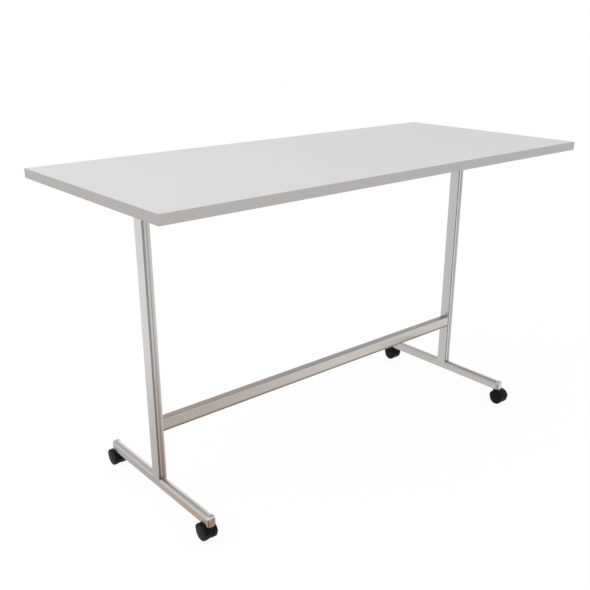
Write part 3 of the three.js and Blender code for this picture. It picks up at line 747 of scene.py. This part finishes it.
def wheel_plastic():
    material, shader, place = finish("black nylon wheel", Specular_IOR_Level=0.12)
    grain = place.noise(1800.0, 2.0)
    worn = place.noise(150.0, 4.0)
    side = abs(place.facing().part(X)).step(0.4, 0.8)
    scuff = worn.step(0.5, 0.75) * (1.0 - side)
    cover = worn.tint(paint(9, 9, 8), paint(14, 13, 13))
    tread = scuff.tint(paint(5, 5, 4), paint(12, 11, 10))
    side.tint(tread, cover).into(shader, "Base Color")
    (worn * 0.15 + 0.42).into(shader, "Roughness")
    grain.bump(0.1, GRAIN_DEPTH).into(shader, "Normal")
    return material


WHEEL_PLASTIC = wheel_plastic()
low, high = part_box("wheel_b_back_left")
face_in, face_out = low.x, high.x - COVER_RISE
pattern = drum("wheel_pattern", ((face_in + face_out) / 2, HUB.y, HUB.z), WHEEL_RADIUS,
               face_out - face_in, X, WHEEL_SIDES)
edit(pattern)
pick("edges", lambda e: not runs(e, X))
bpy.ops.mesh.bevel(offset=WHEEL_ROUND, segments=WHEEL_STEPS, affect="EDGES")
pick("faces", lambda f: f.normal.x > PARALLEL)
bpy.ops.mesh.inset(thickness=TYRE_WALL)
bpy.ops.mesh.inset(thickness=COVER_GROOVE / 2, depth=-COVER_GROOVE)
bpy.ops.mesh.inset(thickness=COVER_GROOVE / 2, depth=COVER_GROOVE)
cover = WHEEL_RADIUS - WHEEL_ROUND - TYRE_WALL - COVER_GROOVE
ring = (cover - AXLE_CAP) / COVER_RINGS
for step in range(COVER_RINGS):
    reach = cover - step * ring
    rise = COVER_RISE * (reach ** 2 - (reach - ring) ** 2) / cover ** 2
    bpy.ops.mesh.inset(thickness=ring, depth=rise)
bpy.ops.mesh.inset(thickness=AXLE_CAP_STEP, depth=-AXLE_CAP_STEP)
bpy.ops.mesh.inset(thickness=AXLE_CAP_STEP, depth=AXLE_CAP_STEP)
bpy.ops.mesh.inset(thickness=AXLE_CAP / 2, depth=COVER_RISE * (AXLE_CAP / 2 / cover) ** 2)
pick("faces", lambda f: f.normal.x < -PARALLEL)
bpy.ops.mesh.inset(thickness=WHEEL_RADIUS - WHEEL_ROUND - AXLE_BORE)
pull(BORE_DEPTH, 0, 0)
leave()
about = Matrix.Translation(HUB) @ Matrix.Rotation(math.pi, 4, "Z") @ Matrix.Translation(-HUB)
for end, side in PLACES:
    for mark, flip in (("a", about), ("b", Matrix())):
        disc = twin(pattern, f"wheel_disc_{mark}_{end}_{side}", caster_move(end, side) @ flip)
        node = f"wheel_{mark}_{end}_{side}"
        dress(disc, WHEEL_PLASTIC, "wheel_nylon", node, node)
bpy.data.objects.remove(pattern)

# Brake pedals
# Moulded nylon levers on the two back casters. Each turns on a cross pin in the web of the hood,
# and its paddle stands ahead of the guard, where a toe presses it.
PEDAL_EDGE = 0.7 * MM
FLAT_ANGLE = math.radians(1)


def from_solid(node, name):
    """A new piece on a copy of a solid's mesh, with its triangles merged into flat faces."""
    piece = bpy.data.objects.new(name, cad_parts[node].data.copy())
    piece.data.name = name
    bpy.context.scene.collection.objects.link(piece)
    edit(piece)
    bpy.ops.mesh.customdata_custom_splitnormals_clear()
    bpy.ops.mesh.select_all(action="SELECT")
    bpy.ops.mesh.remove_doubles(threshold=MERGE)
    bpy.ops.mesh.dissolve_limited(angle_limit=FLAT_ANGLE)
    leave()
    return piece


PEDAL_PLASTIC = black_moulding("moulded black nylon pedal", 0.5, 0.3)
for side in SIDES:
    lever = from_solid(f"brake_pedal_back_{side}", f"pedal_lever_{side}")
    soften(lever, PEDAL_EDGE, ARRIS_STEPS)
    dress(lever, PEDAL_PLASTIC, "black_plastic", f"pedal_{side}", f"brake_pedal_back_{side}")

# Flip heads
# Cast heads, powder coated dark grey, driven into the tops of the columns. Each holds the pivot
# bore and an arm whose rubber buffer the level top rests on.
HEAD_EDGE = 0.9 * MM
BUFFER_EDGE = 0.8 * MM


def powder_coat():
    material, shader, place = finish("dark grey powder coat", Specular_IOR_Level=0.4)
    peel = place.noise(900.0, 2.0)
    cloud = place.noise(40.0, 2.0)
    cloud.tint(paint(52, 52, 54), paint(60, 60, 62)).into(shader, "Base Color")
    (peel * 0.2 + 0.45).into(shader, "Roughness")
    peel.bump(0.25, 2 * GRAIN_DEPTH).into(shader, "Normal")
    return material


def moulded_rubber():
    material, shader, place = finish("black rubber buffer", Specular_IOR_Level=0.25)
    dust = place.noise(300.0, 4.0)
    dust.step(0.45, 0.8).tint(paint(30, 30, 30), paint(52, 51, 50)).into(shader, "Base Color")
    (dust * 0.15 + 0.72).into(shader, "Roughness")
    dust.bump(0.15, 1.5 * GRAIN_DEPTH).into(shader, "Normal")
    return material


POWDER_COAT = powder_coat()
RUBBER = moulded_rubber()
for side in SIDES:
    head = from_solid(f"flip_head_{side}", f"flip_casting_{side}")
    soften(head, HEAD_EDGE)
    dress(head, POWDER_COAT, "painted_steel", "base", f"flip_head_{side}")
    pad = from_solid(f"rest_buffer_{side}", f"rest_pad_{side}")
    soften(pad, BUFFER_EDGE, ARRIS_STEPS)
    dress(pad, RUBBER, "rubber", "base", f"rest_buffer_{side}")

# Top
# A particle board core with light grey high-pressure laminate on both faces, and a plastic band
# glued round its four edges, trimmed flush and eased.


def laminate():
    material, shader, place = finish("light grey laminate", Specular_IOR_Level=0.3)
    speck = place.noise(700.0, 2.0)
    cloud = place.noise(3.0, 2.0)
    fleck = speck.step(0.35, 0.75) * 0.7 + cloud * 0.3
    fleck.tint(paint(213, 213, 214), paint(219, 219, 220)).into(shader, "Base Color")
    (speck * 0.12 + 0.42).into(shader, "Roughness")
    place.noise(2600.0, 2.0).bump(0.06, GRAIN_DEPTH).into(shader, "Normal")
    return material


def edging():
    material, shader, place = finish("grey edge band", Specular_IOR_Level=0.35)
    drawn = place.stretched(0.03, 0.03, 1.0).noise(900.0, 2.0)
    # The ends of the band, which face along X, are painted darker than its front and back as painted
    # shade. The drawn grain moves between a pale and a dark tone on each.
    end_on = abs(place.facing().part(X)).step(0.5, 0.9)
    pale = end_on.tint(paint(195, 192, 190), paint(178, 175, 174))
    dark = end_on.tint(paint(188, 185, 183), paint(170, 167, 166))
    drawn.tint(dark, pale).into(shader, "Base Color")
    (drawn * 0.15 + 0.42).into(shader, "Roughness")
    drawn.bump(0.05, GRAIN_DEPTH).into(shader, "Normal")
    return material


keep("top_panel", laminate())
EDGING = edging()
for edge in ENDS + SIDES:
    keep(f"edge_band_{edge}", EDGING)

# Top brackets
# Steel plates with two bored cheeks, powder coated, screwed to the underside of the top.
# Six cross-recessed screws hold each.
PLATE_THICKNESS = 3 * MM
BRACKET_EDGE = 0.5 * MM
SCREW_RADIUS = 4.2 * MM
SCREW_HEIGHT = 2.4 * MM
SCREW_SIDES = 32
SCREW_DOME = 1.5 * MM
DOME_STEPS = 5
RECESS_HALF = (2.4 * MM, 0.5 * MM)
RECESS_DEPTH = 1.3 * MM
SCREW_EDGE_ACROSS = 10 * MM
SCREW_EDGE_ALONG = 12 * MM

plate_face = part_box("top_panel")[0].z - PLATE_THICKNESS
screw_face = plate_face - SCREW_HEIGHT
screw_middle = plate_face - SCREW_HEIGHT / 2
screw_pattern = drum("screw_pattern", (0, 0, screw_middle), SCREW_RADIUS, SCREW_HEIGHT,
                     Z, SCREW_SIDES)
edit(screw_pattern)
pick("edges", lambda e: not runs(e, Z) and middle(e).z < screw_middle)
bpy.ops.mesh.bevel(offset=SCREW_DOME, segments=DOME_STEPS, affect="EDGES")
leave()
for half_x, half_y in (RECESS_HALF, RECESS_HALF[::-1]):
    cut(screw_pattern, block("recess", (-half_x, -half_y, screw_face - MM),
                             (half_x, half_y, screw_face + RECESS_DEPTH)))
for side in SIDES:
    plate = from_solid(f"top_bracket_{side}", f"bracket_plate_{side}")
    soften(plate, BRACKET_EDGE)
    dress(plate, POWDER_COAT, "painted_steel", "top", f"top_bracket_{side}")
    low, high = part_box(f"top_bracket_{side}")
    columns = (low.x + SCREW_EDGE_ACROSS, high.x - SCREW_EDGE_ACROSS)
    rows = (low.y + SCREW_EDGE_ALONG, (low.y + high.y) / 2, high.y - SCREW_EDGE_ALONG)
    for column, x in enumerate(columns):
        for row, y in enumerate(rows):
            move = Matrix.Translation((x, y, 0))
            screw = twin(screw_pattern, f"bracket_screw_{side}_{column}{row}", move)
            dress(screw, PLATED_STEEL, "steel", "top")
bpy.data.objects.remove(screw_pattern)

# Pivots
# A steel axle through the head and both cheeks, with a hexagon head outside and a clamp handle
# inside. Plated friction washers stand between the head and the cheeks.
WASHER_EDGE = 0.25 * MM
AXLE_HOLE = 6.25 * MM
HEX_SIDES = 6
HEX_LENGTH = 6 * MM
HEX_EDGE = 0.7 * MM
SHANK = 6 * MM
HANDLE_CAP = 3 * MM
HANDLE_ARM = 11 * MM
HANDLE_HUB = 12 * MM
HANDLE_ROOT = 11 * MM
HANDLE_TIP = 7 * MM
HANDLE_LENGTH = 70 * MM
HANDLE_EDGE = 2 * MM
HANDLE_STEPS = 4
HUB_EDGE = 0.8 * MM
HUB_RIM = 0.9 * MM
PAST_MIDDLE = 0.1 * MM
TAPER = HANDLE_TIP / HANDLE_ROOT
HANDLE_PLASTIC = black_moulding("moulded black nylon handle", 0.4, 0.35)

for side, inward in (("left", 1), ("right", -1)):
    pivot = centre(f"friction_washer_inner_{side}")
    for layer in ("inner", "outer"):
        low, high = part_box(f"friction_washer_{layer}_{side}")
        halfway = (low + high) / 2
        thick = high.x - low.x
        ring = drum(f"friction_ring_{layer}_{side}", halfway, (high.y - low.y) / 2, thick,
                    X, FINE_SIDES)
        cut(ring, drum("hole", halfway, AXLE_HOLE, 2 * thick, X))
        soften(ring, WASHER_EDGE)
        dress(ring, PLATED_STEEL, "steel", "base", f"friction_washer_{layer}_{side}")
    low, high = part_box(f"pivot_axle_{side}")
    head_x, tip_x = (low.x, high.x) if inward > 0 else (high.x, low.x)
    shank_x = head_x + inward * HEX_LENGTH / 2
    hex_corner = (high.z - low.z) / 2 / math.cos(math.pi / HEX_SIDES)
    bolt = drum(f"pivot_bolt_{side}", (shank_x, pivot.y, pivot.z), hex_corner, HEX_LENGTH,
                X, HEX_SIDES)
    soften(bolt, HEX_EDGE)
    shank = drum("shank", ((shank_x + tip_x) / 2, pivot.y, pivot.z), SHANK, abs(tip_x - shank_x), X)
    soften(shank, HEX_EDGE)
    cut(bolt, shank, "UNION")
    dress(bolt, PLATED_STEEL, "steel", "base", f"pivot_axle_{side}")
    low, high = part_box(f"clamp_handle_{side}")
    hub_start, hub_end = (low.x, high.x) if inward > 0 else (high.x, low.x)
    lever = drum(f"clamp_lever_{side}", ((hub_start + hub_end) / 2, pivot.y, pivot.z),
                 HANDLE_HUB, abs(hub_end - hub_start), X, FINE_SIDES)
    soften(lever, HUB_EDGE, ARRIS_STEPS)
    arm = drum("arm", (hub_end - inward * HANDLE_ARM / 2, pivot.y, pivot.z),
               HANDLE_ROOT, HANDLE_ARM - 2 * HUB_RIM, X, FINE_SIDES)
    edit(arm)
    pick("verts", lambda v: v.co.y > pivot.y + PAST_MIDDLE)
    bpy.ops.transform.resize(value=(1, TAPER, TAPER), center_override=pivot)
    bpy.ops.transform.translate(value=(0, HANDLE_LENGTH, 0))
    leave()
    soften(arm, HANDLE_EDGE, HANDLE_STEPS)
    cut(lever, arm, "UNION")
    bore_end = hub_end - inward * HANDLE_CAP
    cut(lever, drum("bore", ((hub_start + bore_end) / 2 - inward * MM, pivot.y, pivot.z), AXLE_HOLE,
                    abs(bore_end - hub_start) + 2 * MM, X))
    dress(lever, HANDLE_PLASTIC, "black_plastic", f"handle_{side}", f"clamp_handle_{side}")

# Floor, light and viewpoint
# A plain pale floor and soft studio light. The camera stands where the photograph was taken from.
CAMERA_PLACE = (-1.80446, -1.9671, 1.49921)
CAMERA_TURN = -0.69774
CAMERA_TILT = 0.36116
CAMERA_ROLL = -0.00137
CAMERA_LENS = 47.0608
CAMERA_SENSOR = 36
CAMERA_SHIFT = (0.0063, 0.02974)
FLOOR_SIZE = 60
FLOOR_GLOW = 0.9
FLOOR_WHITE = 1.02
ROOM_LIGHT = 0.84
ROOM_WHITE = 1.0
WHITE = (1.0, 1.0, 1.0, 1.0)
KEY_PLACE = Vector((-3.2, 0.4, 3.6))
KEY_TARGET = Vector((0, 0, 0.6))
KEY_SIZE = 2.6
KEY_POWER = 34


def seen_rays(root):
    """1 on the rays that show the white background, 0 on those that only light the object."""
    path = root.add("ShaderNodeLightPath", {}, {}, "Is Camera Ray")
    rays = path.socket.node.outputs
    sight = path
    for name in ("Is Glossy Ray", "Is Transmission Ray"):
        sight = path.maths("MAXIMUM", sight, Wire(root.tree, rays[name]))
    return sight


floor = start(bpy.ops.mesh.primitive_plane_add, "floor", size=FLOOR_SIZE)
material = bpy.data.materials.new("pale floor")
material.use_nodes = True
tree = material.node_tree
tree.nodes.remove(tree.nodes["Principled BSDF"])
root = Wire(tree)
matt = root.add("ShaderNodeBsdfDiffuse", {}, {"Color": paint(246, 246, 246)})
glow = root.add("ShaderNodeEmission", {}, {"Color": WHITE, "Strength": FLOOR_WHITE})
root.add("ShaderNodeMixShader", {}, {0: seen_rays(root) * FLOOR_GLOW, 1: matt, 2: glow}).into(
    tree.nodes["Material Output"], "Surface")
floor.data.materials.append(material)

room = bpy.data.worlds.new("room")
room.use_nodes = True
tree = room.node_tree
root = Wire(tree)
plain = root.add("ShaderNodeBackground", {}, {"Color": WHITE, "Strength": ROOM_LIGHT})
white = root.add("ShaderNodeBackground", {}, {"Color": WHITE, "Strength": ROOM_WHITE})
root.add("ShaderNodeMixShader", {}, {0: seen_rays(root), 1: plain, 2: white}).into(
    tree.nodes["World Output"], "Surface")
bpy.context.scene.world = room

lamp = bpy.data.lights.new("key", "AREA")
lamp.shape = "SQUARE"
lamp.size = KEY_SIZE
lamp.energy = KEY_POWER
key = bpy.data.objects.new("key", lamp)
bpy.context.scene.collection.objects.link(key)
aim = (KEY_TARGET - KEY_PLACE).to_track_quat("-Z", "Y")
key.matrix_world = Matrix.Translation(KEY_PLACE) @ aim.to_matrix().to_4x4()

lens = bpy.data.cameras.new("viewpoint")
lens.sensor_width = CAMERA_SENSOR
lens.lens = CAMERA_LENS
lens.shift_x, lens.shift_y = CAMERA_SHIFT
viewpoint = bpy.data.objects.new("viewpoint", lens)
bpy.context.scene.collection.objects.link(viewpoint)
viewpoint.matrix_world = (Matrix.Translation(CAMERA_PLACE) @ Matrix.Rotation(CAMERA_TURN, 4, "Z")
                          @ Matrix.Rotation(math.pi / 2 - CAMERA_TILT, 4, "X")
                          @ Matrix.Rotation(CAMERA_ROLL, 4, "Z"))
bpy.context.scene.camera = viewpoint
bpy.context.scene.view_settings.view_transform = "Standard"
